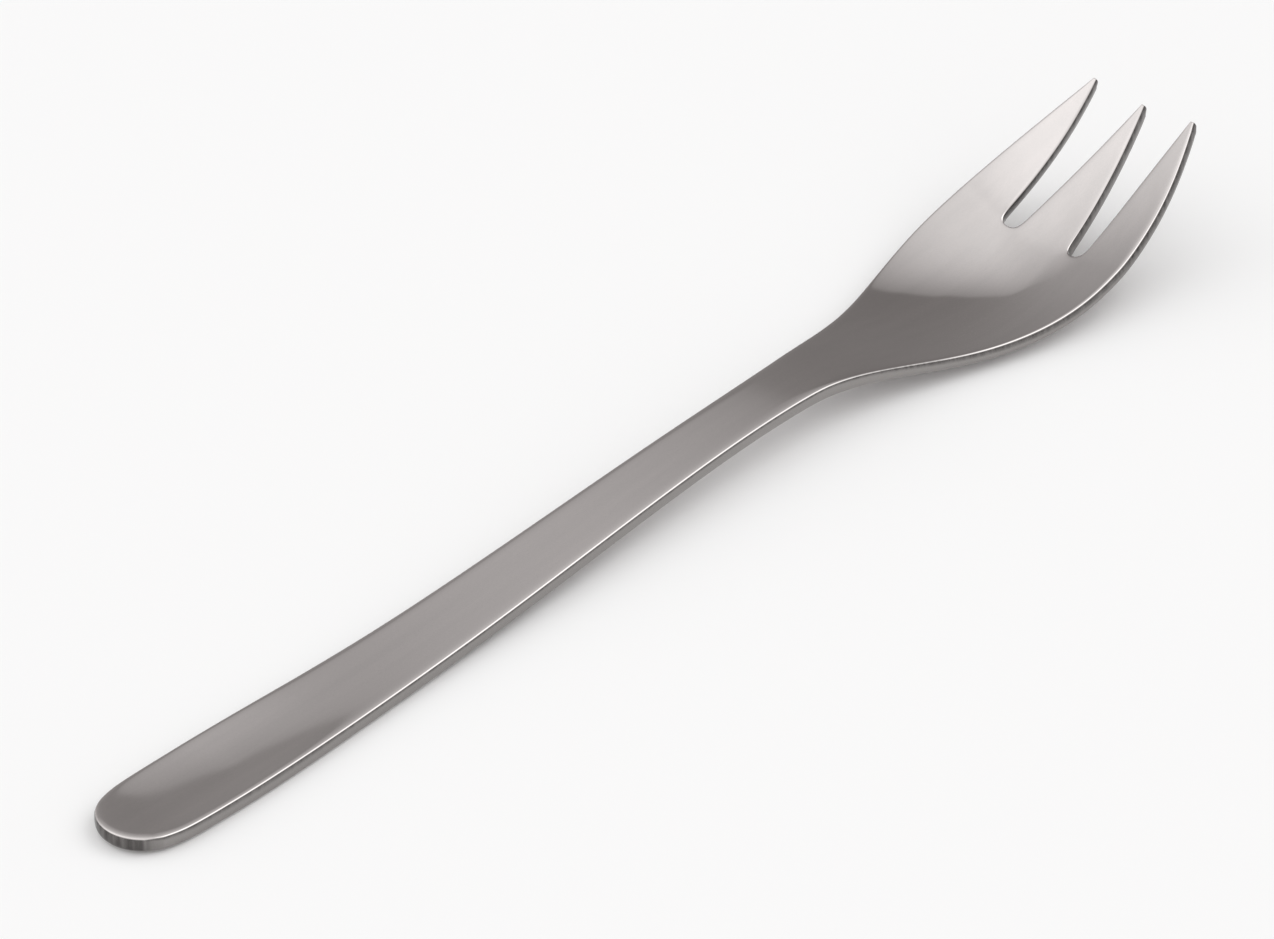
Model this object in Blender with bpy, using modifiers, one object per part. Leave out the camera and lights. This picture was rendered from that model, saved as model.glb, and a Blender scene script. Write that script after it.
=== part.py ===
"""A three-tined dinner fork, stamped and pressed from one strip of stainless steel.

X runs along the fork towards the tine tips, Y to its left and Z up. The fork lies as it
does on a table, with the handle and the bowl on Z = 0, and the middle of its length at the
origin. The sizes below are measured along X from the handle end, or back from the tips.
"""
import math

import bmesh
import bpy

# Plan of the handle, in metres.
FORK_LENGTH = 0.2011
HANDLE_WIDTH = 0.0135
HANDLE_ROUND = 0.0171           # length of the rounded handle end
END_SHAPE = 0.42                # 1 is an ellipse; the smaller, the squarer the end
TAPER_MIDDLE = 0.0572           # from the handle end to the middle of the taper
TAPER_SLOPE = -0.0215           # half-width lost per length at that place
NECK_WIDTH = 0.00885
NECK_TO_TIPS = 0.0806

# Plan of the head.
HEAD_WIDTH = 0.0302
WIDEST_TO_TIPS = 0.0272
FLARE_TO_TIPS = 0.0513          # middle of the flare from neck to head
FLARE_SLOPE = 0.334             # half-width gained per length at that place

# Tines and the two slots between them.
TINE_LENGTH = 0.0222
SLOT_WIDTH = 0.00267            # at the round bottom of a slot
MIDDLE_TINE_WIDTH = 0.00914     # at its root
TIP_WIDTH = 0.001
TIP_SPACING = 0.00872           # middle of one tip to the next
MIDDLE_ROOT_SLOPE = -0.123      # side of the middle tine, at its root and at its tip
MIDDLE_TIP_SLOPE = -0.268
OUTER_TIP_SLOPE = 0.197         # inner side of an outer tine, at its tip

# Side view.
HANDLE_THICKNESS = 0.0023
HEAD_THICKNESS = 0.0019
END_LIFT = 0.0005               # the handle end curls up off the table
END_CURVE = 0.0171              # length of that curl
HANDLE_FLAT = 0.0396            # from the handle end to where the handle starts to rise
CREST_HEIGHT = 0.0051           # the arch of the neck, above the handle
CREST_TO_TIPS = 0.075
BOWL_TO_TIPS = 0.0397           # lowest place of the bowl
BOWL_LOWERING = 0.000165        # makes up for the rounding that lifts the bowl off the table
TIP_HEIGHT = 0.0149             # tine tips, above the handle
TIP_SLOPE = 0.753
HOLLOW_TO_TIPS = 0.067          # where the head starts to be hollowed
BOWL_DEPTH = 0.0024             # hollow across the widest place of the head

# Edges: the upper ones crisp, the lower ones softened.
TOP_EDGE_RADIUS = 0.00035
UNDER_EDGE_RADIUS = 0.0005
SLOT_EDGE_RADIUS = 0.0002
EDGE_BAND = 0.0012              # border strip beside each edge
BAND_OF_TINE = 0.3              # most of a tine's width that one strip may take
RADIUS_OF_BAND = 0.6            # most of a strip that an edge radius may take
RADIUS_OF_WALL = 0.4            # most of the thickness that an edge radius may take

# Places along the fork.
NECK_AT = FORK_LENGTH - NECK_TO_TIPS
CREST_AT = FORK_LENGTH - CREST_TO_TIPS
HOLLOW_AT = FORK_LENGTH - HOLLOW_TO_TIPS
FLARE_AT = FORK_LENGTH - FLARE_TO_TIPS
BOWL_AT = FORK_LENGTH - BOWL_TO_TIPS
WIDEST_AT = FORK_LENGTH - WIDEST_TO_TIPS
ROOT_AT = FORK_LENGTH - TINE_LENGTH

# Layout of the grid: columns from the axis to the side, rows from the handle end to the tips.
SLOT_COLUMN = 3
MIDDLE_SIDE_COLUMN = SLOT_COLUMN - 1
OUTER_SIDE_COLUMN = SLOT_COLUMN + 1
SIDE_COLUMN = 7
END_ROWS = 5
FLAT_ROWS = 3
ARCH_ROWS = 6
HEAD_ROWS = 9
TINE_ROWS = 4
GRID_HALF = 0.5                 # the grid starts as a unit square
END_CORNER = math.radians(50)   # where the handle end's arc passes from row to column
SMALL_ANGLE = 0.01              # step for directions along that arc
ROOT_CORNER_ALONG = 0.25        # corners and middle of a slot's bottom, in slot radii
ROOT_CORNER_ACROSS = 1.05
ROOT_MIDDLE_ALONG = -0.15
RIM_ANGLE = math.radians(50)    # edges sharper than this belong to the rim
FACE_TILT = 0.5                 # the upper and lower faces' normals are steeper than this

STEEL_COLOUR = (0.56, 0.545, 0.53, 1.0)
STEEL_ROUGHNESS = 0.22


def smooth_step(start, end, place):
    share = min(max((place - start) / (end - start), 0.0), 1.0)
    return share * share * (3 - 2 * share)


def smooth_curve(stations, place):
    """Cubic through stations of (place, value, slope)."""
    for (x0, v0, s0), (x1, v1, s1) in zip(stations, stations[1:]):
        if place <= x1:
            break
    span = x1 - x0
    t = (place - x0) / span
    start = v0 * (1 + 2 * t) + s0 * span * t
    end = v1 * (3 - 2 * t) - s1 * span * (1 - t)
    return start * (1 - t) ** 2 + end * t ** 2


def end_point(angle):
    """Outline of the handle end: 0 on the axis, a right angle where the sides begin."""
    along = HANDLE_ROUND * (1 - max(math.cos(angle), 0.0) ** END_SHAPE)
    return along, HANDLE_WIDTH / 2 * math.sin(angle)


def end_run(angle):
    """Change of the outline's place per radian."""
    x0, y0 = end_point(angle - SMALL_ANGLE)
    x1, y1 = end_point(angle + SMALL_ANGLE)
    return (x1 - x0) / (2 * SMALL_ANGLE), (y1 - y0) / (2 * SMALL_ANGLE)


def inner_end_point(angle):
    """Inner side of the border strip at the handle end."""
    x, y = end_point(angle)
    run_x, run_y = end_run(angle)
    strip = EDGE_BAND / math.hypot(run_x, run_y)
    return x + strip * run_y, y - strip * run_x


def side(x):
    """Half-width of the fork past its rounded end."""
    handle = HANDLE_WIDTH / 2
    neck = NECK_WIDTH / 2
    head = HEAD_WIDTH / 2
    if x > WIDEST_AT:
        tip = TIP_SPACING + TIP_WIDTH / 2
        return head - (head - tip) * ((x - WIDEST_AT) / WIDEST_TO_TIPS) ** 2
    return smooth_curve([
        (HANDLE_ROUND, handle, 0.0),
        (TAPER_MIDDLE, (handle + neck) / 2, TAPER_SLOPE),
        (NECK_AT, neck, 0.0),
        (FLARE_AT, (neck + head) / 2, FLARE_SLOPE),
        (WIDEST_AT, head, 0.0),
    ], x)


def middle_side(x):
    """Half-width of the middle tine."""
    return smooth_curve([
        (ROOT_AT, MIDDLE_TINE_WIDTH / 2, MIDDLE_ROOT_SLOPE),
        (FORK_LENGTH, TIP_WIDTH / 2, MIDDLE_TIP_SLOPE),
    ], max(x, ROOT_AT))


def outer_side(x):
    """Inner side of an outer tine, from the axis."""
    return smooth_curve([
        (ROOT_AT, MIDDLE_TINE_WIDTH / 2 + SLOT_WIDTH, 0.0),
        (FORK_LENGTH, TIP_SPACING - TIP_WIDTH / 2, OUTER_TIP_SLOPE),
    ], max(x, ROOT_AT))


def thickness(x):
    """Steel thickness: the head is rolled thinner than the handle."""
    return HANDLE_THICKNESS + (HEAD_THICKNESS - HANDLE_THICKNESS) * smooth_step(CREST_AT, FLARE_AT, x)


def top_height(x, y):
    """Upper face: curled end, handle, arch, bowl and tines, hollowed across the head."""
    line = smooth_curve([
        (0.0, END_LIFT, -2 * END_LIFT / END_CURVE),
        (END_CURVE, 0.0, 0.0),
        (HANDLE_FLAT, 0.0, 0.0),
        (CREST_AT, CREST_HEIGHT, 0.0),
        (BOWL_AT, HEAD_THICKNESS - HANDLE_THICKNESS - BOWL_LOWERING, 0.0),
        (FORK_LENGTH, TIP_HEIGHT, TIP_SLOPE),
    ], x)
    hollow = BOWL_DEPTH * smooth_step(HOLLOW_AT, BOWL_AT, x)
    return HANDLE_THICKNESS + line + hollow * (2 * y / HEAD_WIDTH) ** 2


def band(x):
    """Width of the border strip, narrower on the tines."""
    if x < ROOT_AT:
        return EDGE_BAND
    tine = min(2 * middle_side(x), side(x) - outer_side(x))
    return min(EDGE_BAND, BAND_OF_TINE * tine)


def column_places(x):
    """Y of each column on a straight row: even on the handle, drawn to the slots on the head."""
    strip = band(x)
    width = side(x)
    inner = width - strip
    even = [inner * column / (SIDE_COLUMN - 1) for column in range(SIDE_COLUMN)] + [width]
    middle = middle_side(x)
    outer = outer_side(x)
    slotted = [0.0, middle - strip, middle, (middle + outer) / 2, outer, outer + strip, inner, width]
    drawn = smooth_step(CREST_AT, ROOT_AT - EDGE_BAND, x)
    return [a + (b - a) * drawn for a, b in zip(even, slotted)]


def straight_row(x):
    return [(x, y) for y in column_places(x)]


def end_rows():
    """Rows of the rounded handle end: the arc itself, then rows that straighten out."""
    last = SIDE_COLUMN - 1
    corner_step = EDGE_BAND / math.hypot(*end_run(END_CORNER))
    arc = [end_point(END_CORNER * column / last) for column in range(last)]
    rows = [arc + [end_point(END_CORNER - corner_step), end_point(END_CORNER)]]
    corner_x = end_point(END_CORNER)[0]
    for row in range(END_ROWS - 1):
        angle = END_CORNER + (math.pi / 2 - END_CORNER) * row / (END_ROWS - 1)
        outline = end_point(angle)
        inner_x, inner_y = inner_end_point(angle)
        straightened = (outline[0] - corner_x) / (HANDLE_ROUND - corner_x)
        axis_x = EDGE_BAND + (HANDLE_ROUND - EDGE_BAND) * straightened
        places = []
        for column in range(SIDE_COLUMN):
            out = column / last
            places.append((axis_x + (inner_x - axis_x) * out ** 2, inner_y * out))
        if row == 0:
            outline = end_point(END_CORNER + corner_step)
        rows.append(places + [outline])
    return rows


def root_row():
    """Row at the bottom of the slots, drawn into a round."""
    radius = SLOT_WIDTH / 2
    x = ROOT_AT + radius * ROOT_CORNER_ALONG
    row = straight_row(x)
    middle = row[SLOT_COLUMN][1]
    row[MIDDLE_SIDE_COLUMN] = (x, middle - radius * ROOT_CORNER_ACROSS)
    row[SLOT_COLUMN] = (ROOT_AT + radius * ROOT_MIDDLE_ALONG, middle)
    row[OUTER_SIDE_COLUMN] = (x, middle + radius * ROOT_CORNER_ACROSS)
    return row


def body_rows():
    """Rows from the handle end to just before the slots."""
    rows = end_rows()
    rows += [straight_row(HANDLE_ROUND + (HANDLE_FLAT - HANDLE_ROUND) * step / FLAT_ROWS)
             for step in range(FLAT_ROWS)]
    rows += [straight_row(HANDLE_FLAT + (CREST_AT - HANDLE_FLAT) * step / ARCH_ROWS)
             for step in range(ARCH_ROWS)]
    before_root = ROOT_AT - EDGE_BAND
    rows += [straight_row(CREST_AT + (before_root - CREST_AT) * step / HEAD_ROWS)
             for step in range(HEAD_ROWS + 1)]
    return rows


def tine_rows():
    """Rows from the bottom of the slots to the tips."""
    first = ROOT_AT + SLOT_WIDTH
    last = FORK_LENGTH - band(FORK_LENGTH)
    rows = [straight_row(first + (last - first) * step / TINE_ROWS) for step in range(TINE_ROWS + 1)]
    return [root_row()] + rows + [straight_row(FORK_LENGTH)]


def pressed_sheet():
    """Left half of the upper face: a grid drawn to the outline, slotted, then pressed to height."""
    rows = body_rows()
    root = len(rows)
    rows += tine_rows()
    row_count = len(rows) - 1
    sheet = bmesh.new()
    bmesh.ops.create_grid(sheet, x_segments=row_count, y_segments=SIDE_COLUMN, size=GRID_HALF)
    place = {}
    for vert in sheet.verts:
        row = round((vert.co.x / GRID_HALF + 1) / 2 * row_count)
        column = round((vert.co.y / GRID_HALF + 1) / 2 * SIDE_COLUMN)
        place[vert] = (row, column)
    punched = []
    for face in sheet.faces:
        row = min(place[vert][0] for vert in face.verts)
        column = min(place[vert][1] for vert in face.verts)
        if row >= root and MIDDLE_SIDE_COLUMN <= column < OUTER_SIDE_COLUMN:
            punched.append(face)
    for vert, (row, column) in place.items():
        x, y = rows[row][column]
        vert.co = (x, y, top_height(x, y))
    bmesh.ops.delete(sheet, geom=punched, context="FACES")
    mesh = bpy.data.meshes.new("pressed_sheet")
    sheet.to_mesh(mesh)
    sheet.free()
    return mesh


def edge_radius(x, wanted):
    """A radius that its border strip and the steel's thickness leave room for."""
    return min(wanted, RADIUS_OF_BAND * band(x), RADIUS_OF_WALL * thickness(x))


def weigh_edges(mesh, widest):
    """Mark the upper and lower rim for rounding, each with its own radius."""
    solid = bmesh.new()
    solid.from_mesh(mesh)
    weight = solid.edges.layers.float.new("bevel_weight_edge")
    for edge in solid.edges:
        if edge.calc_face_angle() < RIM_ANGLE:
            continue
        heights = [face.normal.z for face in edge.link_faces]
        x, y, _ = (edge.verts[0].co + edge.verts[1].co) / 2
        in_slot = x > ROOT_AT - EDGE_BAND and abs(y) < (outer_side(x) + side(x)) / 2
        if max(heights) > FACE_TILT:
            edge[weight] = edge_radius(x, SLOT_EDGE_RADIUS if in_slot else TOP_EDGE_RADIUS) / widest
        elif min(heights) < -FACE_TILT:
            edge[weight] = edge_radius(x, SLOT_EDGE_RADIUS if in_slot else UNDER_EDGE_RADIUS) / widest
    solid.to_mesh(mesh)
    solid.free()


def steel():
    material = bpy.data.materials.new("stainless_steel")
    material.use_nodes = True
    shader = material.node_tree.nodes["Principled BSDF"]
    shader.inputs["Base Color"].default_value = STEEL_COLOUR
    shader.inputs["Metallic"].default_value = 1.0
    shader.inputs["Roughness"].default_value = STEEL_ROUGHNESS
    return material


def solid_blank(collection):
    """The pressed sheet, mirrored about the axis and given its thickness below."""
    blank = bpy.data.objects.new("blank", pressed_sheet())
    collection.objects.link(blank)
    thickest = max(HANDLE_THICKNESS, HEAD_THICKNESS)
    rolled = blank.vertex_groups.new(name="rolled")
    for vert in blank.data.vertices:
        rolled.add([vert.index], thickness(vert.co.x) / thickest, "REPLACE")
    mirror = blank.modifiers.new("both_sides", "MIRROR")
    mirror.use_axis = (False, True, False)
    mirror.merge_threshold = 0.00001
    solid = blank.modifiers.new("thickness", "SOLIDIFY")
    solid.thickness = thickest
    solid.offset = -1.0
    solid.use_even_offset = True
    solid.vertex_group = rolled.name
    bpy.context.view_layer.update()
    evaluated = blank.evaluated_get(bpy.context.evaluated_depsgraph_get())
    mesh = bpy.data.meshes.new_from_object(evaluated)
    bpy.data.objects.remove(blank)
    return mesh


def fork(collection):
    mesh = solid_blank(collection)
    widest = max(TOP_EDGE_RADIUS, UNDER_EDGE_RADIUS, SLOT_EDGE_RADIUS)
    weigh_edges(mesh, widest)
    mesh.name = "fork"
    mesh.shade_smooth()
    mesh.materials.append(steel())
    piece = bpy.data.objects.new("fork", mesh)
    collection.objects.link(piece)
    edges = piece.modifiers.new("edges", "BEVEL")
    edges.limit_method = "WEIGHT"
    edges.width = widest
    edges.segments = 1
    surface = piece.modifiers.new("surface", "SUBSURF")
    surface.levels = 1
    surface.render_levels = 1
    return piece


def centre_length(piece):
    """Move the fork along X until the middle of its length is at the origin."""
    bpy.context.view_layer.update()
    evaluated = piece.evaluated_get(bpy.context.evaluated_depsgraph_get())
    along = [vert.co.x for vert in evaluated.to_mesh().vertices]
    piece.location.x = -(min(along) + max(along)) / 2


def main():
    for item in list(bpy.data.objects):
        bpy.data.objects.remove(item)
    collection = bpy.data.collections.new("dinner_fork")
    bpy.context.scene.collection.children.link(collection)
    centre_length(fork(collection))


main()
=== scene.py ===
import math

import bmesh
import bpy
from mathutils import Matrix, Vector


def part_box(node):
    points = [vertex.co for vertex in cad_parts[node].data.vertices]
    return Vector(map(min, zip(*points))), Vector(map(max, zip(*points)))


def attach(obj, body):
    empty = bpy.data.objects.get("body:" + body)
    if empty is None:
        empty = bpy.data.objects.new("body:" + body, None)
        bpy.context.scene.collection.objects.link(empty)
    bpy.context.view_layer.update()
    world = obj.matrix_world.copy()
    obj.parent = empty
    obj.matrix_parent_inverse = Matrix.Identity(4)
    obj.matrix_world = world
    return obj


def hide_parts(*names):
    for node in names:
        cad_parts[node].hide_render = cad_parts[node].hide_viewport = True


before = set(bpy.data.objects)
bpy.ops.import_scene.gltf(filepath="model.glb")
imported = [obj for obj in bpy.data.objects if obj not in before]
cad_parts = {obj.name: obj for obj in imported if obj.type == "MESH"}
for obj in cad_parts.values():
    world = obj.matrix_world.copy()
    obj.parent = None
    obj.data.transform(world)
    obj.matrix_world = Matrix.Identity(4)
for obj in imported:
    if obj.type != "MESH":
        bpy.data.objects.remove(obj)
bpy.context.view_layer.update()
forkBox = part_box("fork")
print("frame loaded, fork", [round(v * 1000, 1) for v in forkBox[1] - forkBox[0]], "mm")


# small helpers

def deselectAll():
    if bpy.context.object and bpy.context.object.mode != "OBJECT":
        bpy.ops.object.mode_set(mode="OBJECT")
    bpy.ops.object.select_all(action="DESELECT")


def makeActive(piece):
    deselectAll()
    piece.select_set(True)
    bpy.context.view_layer.objects.active = piece


def applyModifier(piece, name, kind, **settings):
    modifier = piece.modifiers.new(name, kind)
    for key, value in settings.items():
        setattr(modifier, key, value)
    makeActive(piece)
    bpy.ops.object.modifier_apply(modifier=modifier.name)


def addNode(tree, kind, **settings):
    node = tree.nodes.new(kind)
    for key, value in settings.items():
        setattr(node, key, value)
    return node


def addRamp(tree, value, ends, before, after, shape="LINEAR"):
    ramp = addNode(tree, "ShaderNodeMapRange", interpolation_type=shape)
    ramp.inputs["From Min"].default_value, ramp.inputs["From Max"].default_value = ends
    ramp.inputs["To Min"].default_value = before
    ramp.inputs["To Max"].default_value = after
    tree.links.new(value, ramp.inputs["Value"])
    return ramp.outputs["Result"]


def addMath(tree, operation, *values):  # each value is a number or a socket
    sums = addNode(tree, "ShaderNodeMath", operation=operation)
    for value, socket in zip(values, sums.inputs):
        if isinstance(value, (int, float)):
            socket.default_value = value
        else:
            tree.links.new(value, socket)
    return sums.outputs["Value"]


def smoothStep(start, end, place):
    share = min(max((place - start) / (end - start), 0.0), 1.0)
    return share * share * (3 - 2 * share)


def hump(rise, fall, place):  # up over one stretch, down over another
    return smoothStep(*rise, place) * (1 - smoothStep(*fall, place))


def smoothCurve(stations, place):  # cubic through (place, value, slope)
    for (x0, v0, s0), (x1, v1, s1) in zip(stations, stations[1:]):
        if place <= x1:
            break
    span = x1 - x0
    t = (place - x0) / span
    start = v0 * (1 + 2 * t) + s0 * span * t
    end = v1 * (3 - 2 * t) - s1 * span * (1 - t)
    return start * (1 - t) ** 2 + end * t ** 2


# camera

cameraView = {
    "lookAt": (-0.00191, 0.00301, 0.00492),
    "towards": 42.685,       # degrees round from the fork's length
    "downwards": 34.586,
    "distance": 0.7944,
    "lens": 169.54,          # mm, on a 36 mm wide sensor
}


def makeCamera():
    turn = math.radians(cameraView["towards"])
    dip = math.radians(cameraView["downwards"])
    look = Vector((math.cos(dip) * math.cos(turn), math.cos(dip) * math.sin(turn), -math.sin(dip)))
    bpy.ops.object.camera_add(location=Vector(cameraView["lookAt"]) - look * cameraView["distance"])
    camera = bpy.context.object
    camera.name = "photoCamera"
    camera.rotation_euler = look.to_track_quat("-Z", "Y").to_euler()
    camera.data.sensor_fit = "HORIZONTAL"
    camera.data.sensor_width = 36
    camera.data.lens = cameraView["lens"]
    camera.data.clip_start = 0.01
    bpy.context.scene.camera = camera


deselectAll()
makeCamera()
print("camera placed")


# fork: one stamped strip, metres, along X from the handle end or back from the tips

fork = {
    "length": 0.2011,
    "handleWidth": 0.0135,
    "handleRound": 0.0171,       # length of the rounded handle end
    "endShape": 0.42,            # 1 is an ellipse, less is squarer
    "taperMiddle": 0.0572,
    "taperSlope": -0.0215,
    "neckWidth": 0.00885,
    "neckToTips": 0.0806,
    "headWidth": 0.0302,
    "widestToTips": 0.0272,
    "flareToTips": 0.0513,
    "flareSlope": 0.334,
    "tineLength": 0.0222,
    "slotWidth": 0.00267,
    "middleTineWidth": 0.00914,
    "tipWidth": 0.0007,
    "tipSpacing": 0.00872,
    "middleRootSlope": -0.123,
    "middleTipSlope": -0.268,
    "outerTipSlope": 0.197,
    "handleThickness": 0.0023,
    "headThickness": 0.0019,
    "endLift": 0.0005,           # the handle end curls up
    "endCurve": 0.0171,
    "handleFlat": 0.0396,
    "crestHeight": 0.0051,
    "crestToTips": 0.075,
    "bowlToTips": 0.0397,
    "bowlLowering": 0.0001,
    "tipHeight": 0.0149,
    "tipSlope": 0.753,
    "hollowToTips": 0.067,
    "bowlDepth": 0.0024,
    "handleDish": 0.00042,       # shallow hollow pressed in the handle end
    "dishEnds": (0.0, 0.015, 0.023, 0.046),
    "bowlSag": 0.00065,          # the middle of the bowl is pressed deeper
    "sagEnds": (0.157, 0.1724, 0.1913),
    "sagWidth": 0.0286,
    "sagThins": (0.164, 0.176),  # it thins the steel before this, and bends it after
    "shoulder": 0.00004,         # the faces fall away a little towards the rims
    "tipRound": 0.0016,          # the tips thin out from below over this length
    "tipThinned": 0.5,
    "topEdge": 0.00025,          # upper rims crisp, lower ones softened
    "underEdge": 0.0005,
    "slotEdge": 0.0002,
    "edgeBand": 0.0012,
    "bandOfTine": 0.3,
    "edgeOfBand": 0.6,
    "edgeOfWall": 0.4,
    "wallTilts": (0.35, 0.75),   # upward share of the surface's facing, from cut side to face
    "rawAndShadedTines": (-0.006, 0.002), # the tines' sides turn raw and take painted shade along here, from their roots
    "lowerWall": (0.0004, 0.0016),           # depth below the face where they brighten again, as their painted shade lifts
    # share by which the raw tone and painted shade lift on the lower part of the tines' sides
    "lowerWallLighter": 0.75,
    "rawAndShadedEnd": (0.3, 0.8),        # share that faces back, on the raw handle end, which is darkened also as painted shade
    "rimStart": (0.05, 0.25),    # upward share where the rounded rim begins
    # painted shade: a dark line along the rounded upper rims, just under their bright line
    "underRimEnd": (0.5, 0.65),
    "underRimShade": 0.7,
    "flareRimEnd": (0.88, 0.95),
    "flareRimShade": 0.65,         # painted shade on the rim beside the flare, dimming its bright line there
    "flareShadeSpan": (0.006, -0.004, 0.006),     # past the hollow's start, and round the flare
    "columns": 7,                # from the axis to the side
    "slotColumn": 3,
    "endRows": 5,
    "flatRows": 5,
    "archRows": 8,
    "headRows": 12,
    "tineRows": 4,
    "endCorner": math.radians(50),
    "rootCornerAlong": 0.25,
    "rootCornerAcross": 1.05,
    "rootMiddleAlong": -0.15,
    "mergeWithin": 0.00001,      # where the two halves meet
    "smoothLevels": 3,
}
neckAt = fork["length"] - fork["neckToTips"]
crestAt = fork["length"] - fork["crestToTips"]
hollowAt = fork["length"] - fork["hollowToTips"]
flareAt = fork["length"] - fork["flareToTips"]
bowlAt = fork["length"] - fork["bowlToTips"]
widestAt = fork["length"] - fork["widestToTips"]
rootAt = fork["length"] - fork["tineLength"]


def endPoint(angle):  # outline of the handle end, 0 on the axis
    along = fork["handleRound"] * (1 - max(math.cos(angle), 0.0) ** fork["endShape"])
    return along, fork["handleWidth"] / 2 * math.sin(angle)


def endRun(angle, step=0.01):
    x0, y0 = endPoint(angle - step)
    x1, y1 = endPoint(angle + step)
    return (x1 - x0) / (2 * step), (y1 - y0) / (2 * step)


def innerEndPoint(angle):  # inner side of the border strip
    x, y = endPoint(angle)
    runX, runY = endRun(angle)
    strip = fork["edgeBand"] / math.hypot(runX, runY)
    return x + strip * runY, y - strip * runX


def forkSide(x):  # half-width past the rounded end
    handle, neck, head = fork["handleWidth"] / 2, fork["neckWidth"] / 2, fork["headWidth"] / 2
    if x > widestAt:
        tip = fork["tipSpacing"] + fork["tipWidth"] / 2
        return head - (head - tip) * ((x - widestAt) / fork["widestToTips"]) ** 2
    return smoothCurve([
        (fork["handleRound"], handle, 0.0),
        (fork["taperMiddle"], (handle + neck) / 2, fork["taperSlope"]),
        (neckAt, neck, 0.0),
        (flareAt, (neck + head) / 2, fork["flareSlope"]),
        (widestAt, head, 0.0),
    ], x)


def middleTineSide(x):
    return smoothCurve([
        (rootAt, fork["middleTineWidth"] / 2, fork["middleRootSlope"]),
        (fork["length"], fork["tipWidth"] / 2, fork["middleTipSlope"]),
    ], max(x, rootAt))


def outerTineSide(x):  # its inner side, from the axis
    return smoothCurve([
        (rootAt, fork["middleTineWidth"] / 2 + fork["slotWidth"], 0.0),
        (fork["length"], fork["tipSpacing"] - fork["tipWidth"] / 2, fork["outerTipSlope"]),
    ], max(x, rootAt))


def dishDepth(x, y):  # hollow of the handle end, none at its rim
    start, full, fade, end = fork["dishEnds"]
    across = max(1 - (2 * y / fork["handleWidth"]) ** 2, 0.0)
    return fork["handleDish"] * across * hump((start, full), (fade, end), x)


def sagDepth(x, y):  # the deeper middle of the bowl
    start, middle, end = fork["sagEnds"]
    across = max(1 - (2 * y / fork["sagWidth"]) ** 2, 0.0) ** 2
    return fork["bowlSag"] * across * hump((start, middle), (middle, end), x)


def steelThickness(x, y):  # the head is rolled thinner, the tips rounded from below
    handle, head = fork["handleThickness"], fork["headThickness"]
    rolled = handle + (head - handle) * smoothStep(crestAt, flareAt, x) - dishDepth(x, y)
    rolled -= sagDepth(x, y) * (1 - smoothStep(*fork["sagThins"], x))
    toTip = max(x - fork["length"] + fork["tipRound"], 0.0) / fork["tipRound"]
    return rolled * (1 - fork["tipThinned"] * toTip ** 2)


def topHeight(x, y):  # handle, arch, bowl and tines
    line = smoothCurve([
        (0.0, fork["endLift"], -2 * fork["endLift"] / fork["endCurve"]),
        (fork["endCurve"], 0.0, 0.0),
        (fork["handleFlat"], 0.0, 0.0),
        (crestAt, fork["crestHeight"], 0.0),
        (bowlAt, fork["headThickness"] - fork["handleThickness"] - fork["bowlLowering"], 0.0),
        (fork["length"], fork["tipHeight"], fork["tipSlope"]),
    ], x)
    hollow = fork["bowlDepth"] * smoothStep(hollowAt, bowlAt, x)
    height = fork["handleThickness"] + line + hollow * (2 * y / fork["headWidth"]) ** 2
    return height - sagDepth(x, y) - dishDepth(x, y)


def bandWidth(x):  # border strip, narrower on the tines
    if x < rootAt:
        return fork["edgeBand"]
    tine = min(2 * middleTineSide(x), forkSide(x) - outerTineSide(x))
    return min(fork["edgeBand"], fork["bandOfTine"] * tine)


def straightRow(x):  # even on the handle, drawn to the slots on the head
    strip, width = bandWidth(x), forkSide(x)
    inner = width - strip
    last = fork["columns"] - 1
    even = [inner * column / last for column in range(fork["columns"])] + [width]
    middle, outer = middleTineSide(x), outerTineSide(x)
    slotted = [0.0, middle - strip, middle, (middle + outer) / 2,
               outer, outer + strip, inner, width]
    drawn = smoothStep(crestAt, rootAt - fork["edgeBand"], x)
    return [(x, a + (b - a) * drawn) for a, b in zip(even, slotted)]


def endRowsOfHandle():  # the arc, then rows that straighten out
    last = fork["columns"] - 1
    corner = fork["endCorner"]
    cornerStep = fork["edgeBand"] / math.hypot(*endRun(corner))
    rows = [[endPoint(corner * column / last) for column in range(last)]
            + [endPoint(corner - cornerStep), endPoint(corner)]]
    cornerX = endPoint(corner)[0]
    steps = fork["endRows"] - 1
    for row in range(steps):
        angle = corner + (math.pi / 2 - corner) * row / steps
        outline = endPoint(angle)
        innerX, innerY = innerEndPoint(angle)
        straightened = (outline[0] - cornerX) / (fork["handleRound"] - cornerX)
        axisX = fork["edgeBand"] + (fork["handleRound"] - fork["edgeBand"]) * straightened
        places = []
        for column in range(fork["columns"]):
            out = column / last
            places.append((axisX + (innerX - axisX) * out ** 2, innerY * out))
        if row == 0:
            outline = endPoint(corner + cornerStep)
        rows.append(places + [outline])
    return rows


def slotRootRow():  # the slots' bottoms, drawn into a round
    radius = fork["slotWidth"] / 2
    slot = fork["slotColumn"]
    x = rootAt + radius * fork["rootCornerAlong"]
    row = straightRow(x)
    middle = row[slot][1]
    row[slot - 1] = (x, middle - radius * fork["rootCornerAcross"])
    row[slot] = (rootAt + radius * fork["rootMiddleAlong"], middle)
    row[slot + 1] = (x, middle + radius * fork["rootCornerAcross"])
    return row


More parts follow.
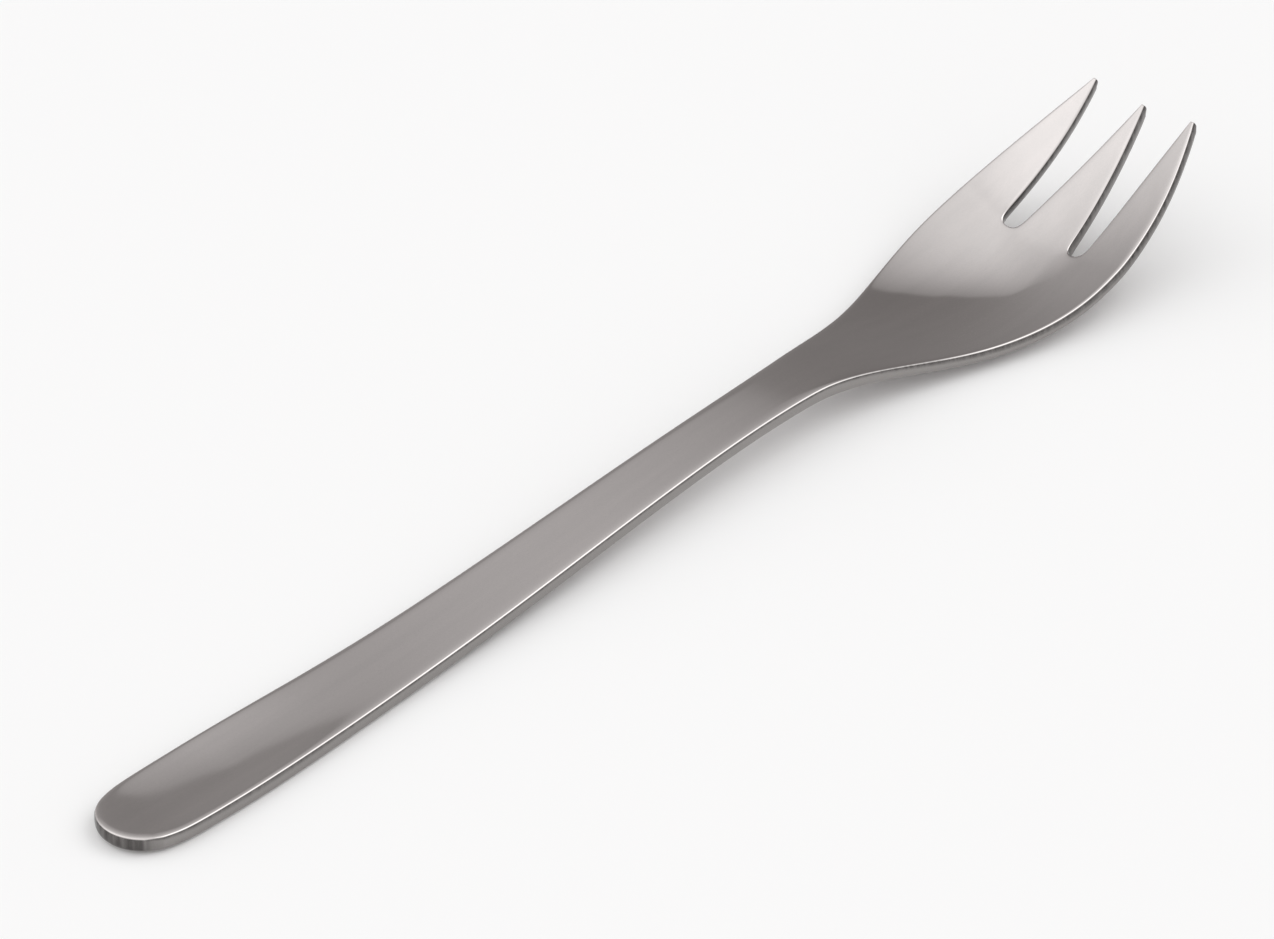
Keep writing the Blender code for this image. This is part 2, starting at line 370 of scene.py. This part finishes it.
def forkRows():
    rows = endRowsOfHandle()
    start, beforeRoot = fork["handleRound"], rootAt - fork["edgeBand"]
    flat = fork["handleFlat"]
    rows += [straightRow(start + (flat - start) * step / fork["flatRows"])
             for step in range(fork["flatRows"])]
    rows += [straightRow(flat + (crestAt - flat) * step / fork["archRows"])
             for step in range(fork["archRows"])]
    rows += [straightRow(crestAt + (beforeRoot - crestAt) * step / fork["headRows"])
             for step in range(fork["headRows"] + 1)]
    rootRow = len(rows)
    first, last = rootAt + fork["slotWidth"], fork["length"] - bandWidth(fork["length"])
    rows.append(slotRootRow())
    thinning = fork["length"] - fork["tipRound"]
    rows += [straightRow(first + (thinning - first) * step / fork["tineRows"])
             for step in range(fork["tineRows"] + 1)]
    rows += [straightRow((thinning + last) / 2), straightRow(last), straightRow(fork["length"])]
    return rows, rootRow


def edgeRoom(x, wanted):  # what the border strip and the thickness leave room for
    rimThickness = steelThickness(x, math.inf)  # outside the dish and the sag
    return min(wanted, fork["edgeOfBand"] * bandWidth(x), fork["edgeOfWall"] * rimThickness)


def weighRims(mesh, widest):  # bevel weights on the upper and lower rims
    shape = bmesh.new()
    shape.from_mesh(mesh)
    weight = shape.edges.layers.float.new("bevel_weight_edge")
    for edge in shape.edges:
        if edge.calc_face_angle() < math.radians(50):
            continue
        x, y, _ = (edge.verts[0].co + edge.verts[1].co) / 2
        inSlot = x > rootAt - fork["edgeBand"] and abs(y) < (outerTineSide(x) + forkSide(x)) / 2
        tilts = [face.normal.z for face in edge.link_faces]
        if max(tilts) > 0.5:
            edge[weight] = edgeRoom(x, fork["slotEdge" if inSlot else "topEdge"]) / widest
        elif min(tilts) < -0.5:
            edge[weight] = edgeRoom(x, fork["slotEdge" if inSlot else "underEdge"]) / widest
    shape.to_mesh(mesh)
    shape.free()


def markWalls(mesh):  # cutSide is 1 on the sides and 0 on the faces; the raw mask is 1 where unpolished and where shade is painted: the tines' sides, the handle end, a line under the upper rims and the rim beside the flare
    pastHollow, beforeFlare, pastFlare = fork["flareShadeSpan"]
    rawShadeFrom, rawShadeTo = fork["rawAndShadedTines"]
    cut, rawAndShade = [], []
    for vert in mesh.vertices:
        x, y, z = vert.co
        up = vert.normal.z
        side = 1 - smoothStep(*fork["wallTilts"], abs(up))
        # the tines' sides and the handle end take the raw tone with painted shade, less of it lower
        # down the tines
        onTines = smoothStep(rootAt + rawShadeFrom, rootAt + rawShadeTo, x)
        onTines *= 1 - fork["lowerWallLighter"] * smoothStep(*fork["lowerWall"], topHeight(x, y) - z)
        onEnd = smoothStep(*fork["rawAndShadedEnd"], -vert.normal.x)
        onFlare = hump((crestAt, hollowAt + pastHollow),
                       (flareAt + beforeFlare, flareAt + pastFlare), x)
        # painted shade: a dark line just under the rounded upper rims
        underRim = fork["underRimShade"] * hump(fork["rimStart"], fork["underRimEnd"], up)
        # painted shade: darkens the rim beside the flare, dimming its bright line
        flareRim = fork["flareRimShade"] * hump(fork["rimStart"], fork["flareRimEnd"], up) * onFlare
        cut.append(side)
        rawAndShade.append(max(side * onTines, side * onEnd, underRim, flareRim))
    mesh.attributes.new("cutSide", "FLOAT", "POINT").data.foreach_set("value", cut)
    mesh.attributes.new("rawAndShadedSide", "FLOAT", "POINT").data.foreach_set("value", rawAndShade)


def shoulderDrop(cell, rootRow, x):  # only the cage's outline drops
    row, column = cell
    slotSides = (fork["slotColumn"] - 1, fork["slotColumn"] + 1)
    outline = row == 0 or column == fork["columns"] or (row >= rootRow and column in slotSides)
    return fork["shoulder"] * bandWidth(x) / fork["edgeBand"] if outline else 0.0


def modelFork():
    rows, rootRow = forkRows()
    rowCount, columnCount = len(rows) - 1, fork["columns"]
    deselectAll()
    bpy.ops.mesh.primitive_grid_add(x_subdivisions=rowCount, y_subdivisions=columnCount, size=1)
    piece = bpy.context.object
    piece.name = "stampedFork"
    mesh = piece.data
    cells = {v.index: (round((v.co.x + 0.5) * rowCount), round((v.co.y + 0.5) * columnCount))
             for v in mesh.vertices}
    slotColumns = (fork["slotColumn"] - 1, fork["slotColumn"])
    for vert, cell in cells.items():
        x, y = rows[cell[0]][cell[1]]
        mesh.vertices[vert].co = (x, y, topHeight(x, y) - shoulderDrop(cell, rootRow, x))
    bpy.ops.object.mode_set(mode="EDIT")
    bpy.ops.mesh.select_mode(type="FACE")
    bpy.ops.mesh.select_all(action="DESELECT")
    bpy.ops.object.mode_set(mode="OBJECT")
    for face in mesh.polygons:
        row = min(cells[v][0] for v in face.vertices)
        column = min(cells[v][1] for v in face.vertices)
        face.select = row >= rootRow and column in slotColumns
    bpy.ops.object.mode_set(mode="EDIT")
    bpy.ops.mesh.delete(type="FACE")  # punch this half's slot
    bpy.ops.object.mode_set(mode="OBJECT")
    applyModifier(piece, "bothSides", "MIRROR", use_axis=(False, True, False),
                  merge_threshold=fork["mergeWithin"])
    bpy.ops.object.mode_set(mode="EDIT")
    bpy.ops.mesh.select_all(action="SELECT")
    bpy.ops.mesh.remove_doubles(threshold=fork["mergeWithin"])
    bpy.ops.mesh.normals_make_consistent(inside=False)
    bpy.ops.object.mode_set(mode="OBJECT")
    if sum(face.normal.z for face in mesh.polygons) < 0:
        mesh.flip_normals()
    thickest = max(fork["handleThickness"], fork["headThickness"])
    rolled = piece.vertex_groups.new(name="rolled")
    for vert in mesh.vertices:
        rolled.add([vert.index], steelThickness(vert.co.x, vert.co.y) / thickest, "REPLACE")
    applyModifier(piece, "thickness", "SOLIDIFY", thickness=thickest, offset=-1.0,
                  use_even_offset=True, vertex_group="rolled")
    widest = max(fork["topEdge"], fork["underEdge"], fork["slotEdge"])
    weighRims(mesh, widest)
    applyModifier(piece, "rims", "BEVEL", limit_method="WEIGHT", width=widest, segments=1)
    applyModifier(piece, "surface", "SUBSURF", levels=fork["smoothLevels"],
                  render_levels=fork["smoothLevels"])
    markWalls(mesh)
    along = [vert.co.x for vert in mesh.vertices]
    middle = (forkBox[0].x + forkBox[1].x) / 2
    piece.location.x = middle - (min(along) + max(along)) / 2
    makeActive(piece)
    bpy.ops.object.transform_apply(location=True, rotation=True, scale=True)
    bpy.ops.object.shade_smooth()
    return piece


stampedFork = modelFork()
print("fork modelled,", len(stampedFork.data.polygons) * 2, "triangles")


# steel finish, with painted shade on the cut sides and rims

steel = {
    "colour": (0.65, 0.615, 0.605),
    "dullColour": (0.60, 0.572, 0.563),      # between the polishing marks
    "wallToneAndShade": (0.31, 0.295, 0.287),      # cut sides: less polished than the faces, and darker still as painted shade for a dark reflection
    "rawToneAndShade": (0.075, 0.07, 0.068),       # tines' sides and handle end, least polished and darkened further as painted shade; also painted shade under the rims and beside the flare
    "roughness": 0.08,
    "roughnessChange": 0.03,
    "wallRoughness": 0.16,                   # added on the cut sides
    "patchScale": 45,                        # soft patches where it has been handled
    "patchEnds": (0.3, 0.7),
    "lineStretch": (35, 3200, 3200),         # polishing lines run along the fork
    "lineHeight": 0.0000004,                 # metres
    "streakStretch": (14, 420, 420),         # broad streaks left by the polishing wheel
    "grainScale": 3500,                      # satin grain
    "grainShare": 0.6,
    "shineEnds": (0.45, 1.15),
    "shearStretch": (1500, 1500, 120),       # shear marks across the cut sides
    "shearEnds": (0.3, 0.65),
    "shearLeast": 0.55,
}


def makeSteel():
    material = bpy.data.materials.new("satinSteel")
    material.use_nodes = True
    tree = material.node_tree
    shader = tree.nodes["Principled BSDF"]
    shader.inputs["Metallic"].default_value = 1.0
    place = addNode(tree, "ShaderNodeTexCoord").outputs["Object"]
    walls = addNode(tree, "ShaderNodeAttribute", attribute_name="cutSide").outputs["Fac"]
    rawAndShade = addNode(tree, "ShaderNodeAttribute", attribute_name="rawAndShadedSide").outputs["Fac"]

    def noise(scale, detail, stretch=None):
        pattern = addNode(tree, "ShaderNodeTexNoise")
        pattern.inputs["Scale"].default_value = scale
        pattern.inputs["Detail"].default_value = detail
        source = place
        if stretch:
            mapping = addNode(tree, "ShaderNodeMapping")
            mapping.inputs["Scale"].default_value = stretch
            tree.links.new(source, mapping.inputs["Vector"])
            source = mapping.outputs["Vector"]
        tree.links.new(source, pattern.inputs["Vector"])
        return pattern.outputs["Fac"]

    def blend(share, under, over):  # under is a colour or a socket, over a colour
        mix = addNode(tree, "ShaderNodeMix", data_type="RGBA")
        tree.links.new(share, mix.inputs["Factor"])
        if isinstance(under, tuple):
            mix.inputs["A"].default_value = (*under, 1)
        else:
            tree.links.new(under, mix.inputs["A"])
        mix.inputs["B"].default_value = (*over, 1)
        return mix.outputs["Result"]

    marks = addMath(tree, "MULTIPLY_ADD", noise(steel["grainScale"], 2), steel["grainShare"],
                    noise(1, 4, steel["streakStretch"]))
    shine = addRamp(tree, marks, steel["shineEnds"], 0.0, 1.0)
    sheared = addRamp(tree, noise(1, 3, steel["shearStretch"]), steel["shearEnds"],
                      steel["shearLeast"], 1.0)
    colour = blend(shine, steel["dullColour"], steel["colour"])
    # cut sides darker: partly a less polished finish, partly painted shade
    colour = blend(walls, colour, steel["wallToneAndShade"])
    # raw tone with painted shade on the tines' sides and handle end, and painted shade under the
    # rims and beside the flare
    colour = blend(addMath(tree, "MULTIPLY", rawAndShade, sheared), colour, steel["rawToneAndShade"])
    tree.links.new(colour, shader.inputs["Base Color"])

    halfChange = steel["roughnessChange"] / 2
    smear = addRamp(tree, noise(steel["patchScale"], 3), steel["patchEnds"],
                    steel["roughness"] + halfChange, steel["roughness"] - halfChange)
    roughness = addMath(tree, "MULTIPLY_ADD", walls, steel["wallRoughness"], smear)
    tree.links.new(roughness, shader.inputs["Roughness"])

    bump = addNode(tree, "ShaderNodeBump")
    bump.inputs["Distance"].default_value = steel["lineHeight"]
    tree.links.new(noise(1, 3, steel["lineStretch"]), bump.inputs["Height"])
    tree.links.new(bump.outputs["Normal"], shader.inputs["Normal"])
    return material


stampedFork.data.materials.append(makeSteel())
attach(stampedFork, "root")
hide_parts("fork")
print("steel finish on")


# table and light

studio = {
    "tableSize": 30.0,
    "tableDrop": 0.00003,        # below the fork, so that the faces don't meet
    "tableColour": (0.91, 0.91, 0.91),
    "tableRoughness": 0.9,
    "light": 1.6,                # strength of the whole room; the lights below are shares of it
    "darkEnd": 20,               # degrees round: the walls darken evenly to here
    "darkEndLight": 0.133,
    "wallEnds": (0.15, 1.0),     # from the brightest to the darkest: 1 is at the dark end
    "ceilingEnds": (0.57, 1.0),  # the ceiling brightens evenly: 0 is level, 1 is overhead
    "overheadLight": 0.54,
    "edgeLight": 0.07,           # the ceiling's edge is crisp near the dark end
    "edgeWidth": 0.025,
    "edgeEnds": (0.847, 0.941),  # from no edge to the whole edge, towards the dark end
    "lowLight": 0.25,            # share of light left near the floor
    "lowEnds": (0.0, 0.15),
    "cameraSide": (235, 15),     # degrees round and up: the room is dimmer behind the camera
    "cameraSideLight": 0.62,
    "cameraSideEnds": (0.0, 0.7),            # 1 is straight towards it
    "softbox": (-38, 50),        # draws the bright line along the right rim
    "softboxLight": 0.72,
    "softboxEnds": (0.87, 0.965),
    "warmShade": (0.02, 0.012, 0.010),       # tints the dark parts of the room
}


def makeTable():
    deselectAll()
    bpy.ops.mesh.primitive_plane_add(size=studio["tableSize"],
                                     location=(0, 0, -studio["tableDrop"]))
    table = bpy.context.object
    table.name = "table"
    material = bpy.data.materials.new("paleTable")
    material.use_nodes = True
    shader = material.node_tree.nodes["Principled BSDF"]
    shader.inputs["Base Color"].default_value = (*studio["tableColour"], 1.0)
    shader.inputs["Roughness"].default_value = studio["tableRoughness"]
    shader.inputs["Specular IOR Level"].default_value = 0.0
    table.data.materials.append(material)


def heading(place):  # a direction from degrees round and up
    turn, lift = math.radians(place[0]), math.radians(place[1])
    return math.cos(lift) * math.cos(turn), math.cos(lift) * math.sin(turn), math.sin(lift)


def makeRoomLight():
    world = bpy.data.worlds.new("studioRoom")
    bpy.context.scene.world = world
    world.use_nodes = True
    tree = world.node_tree
    direction = addNode(tree, "ShaderNodeTexCoord").outputs["Generated"]

    def towards(place, seen=direction):  # 1 straight towards a place in the room
        facing = addNode(tree, "ShaderNodeVectorMath", operation="DOT_PRODUCT")
        facing.inputs[1].default_value = heading(place)
        tree.links.new(seen, facing.inputs[0])
        return facing.outputs["Value"]

    level = addNode(tree, "ShaderNodeVectorMath", operation="MULTIPLY")  # heights left out
    level.inputs[1].default_value = (1, 1, 0)
    tree.links.new(direction, level.inputs[0])
    aroundRoom = addNode(tree, "ShaderNodeVectorMath", operation="NORMALIZE")
    tree.links.new(level.outputs["Vector"], aroundRoom.inputs[0])
    facing = towards((studio["darkEnd"], 0), aroundRoom.outputs["Vector"])
    darkness = addRamp(tree, facing, (-1, 1), 0.0, 1.0)
    walls = addRamp(tree, darkness, studio["wallEnds"], 1.0, studio["darkEndLight"])

    up = addNode(tree, "ShaderNodeSeparateXYZ")
    tree.links.new(direction, up.inputs["Vector"])
    height = up.outputs["Z"]
    overhead = addRamp(tree, height, studio["ceilingEnds"], 0.0, studio["overheadLight"])
    start = studio["ceilingEnds"][0]
    edge = addRamp(tree, height, (start, start + studio["edgeWidth"]), 0.0, studio["edgeLight"],
                   "SMOOTHSTEP")
    edgeShare = addRamp(tree, darkness, studio["edgeEnds"], 0.0, 1.0, "SMOOTHSTEP")
    ceiling = addMath(tree, "ADD", overhead, addMath(tree, "MULTIPLY", edge, edgeShare))

    both = addMath(tree, "MULTIPLY", walls, ceiling)  # each light fills in the other's shade
    light = addMath(tree, "SUBTRACT", addMath(tree, "ADD", walls, ceiling), both)
    low = addRamp(tree, height, studio["lowEnds"], studio["lowLight"], 1.0, "SMOOTHSTEP")
    behind = addRamp(tree, towards(studio["cameraSide"]), studio["cameraSideEnds"],
                     1.0, studio["cameraSideLight"], "SMOOTHSTEP")
    softbox = addRamp(tree, towards(studio["softbox"]), studio["softboxEnds"],
                      0.0, studio["softboxLight"], "SMOOTHSTEP")
    light = addMath(tree, "MULTIPLY", addMath(tree, "MULTIPLY", light, low), behind)
    light = addMath(tree, "ADD", light, softbox)

    background = tree.nodes["Background"]
    background.inputs["Strength"].default_value = studio["light"]
    tint = addNode(tree, "ShaderNodeMix", data_type="RGBA", clamp_factor=False)
    tint.inputs["A"].default_value = (*studio["warmShade"], 1)
    tint.inputs["B"].default_value = (1, 1, 1, 1)
    tree.links.new(light, tint.inputs["Factor"])
    tree.links.new(tint.outputs["Result"], background.inputs["Color"])


makeTable()
makeRoomLight()
bpy.context.scene.view_settings.view_transform = "Standard"
print("table and light made")
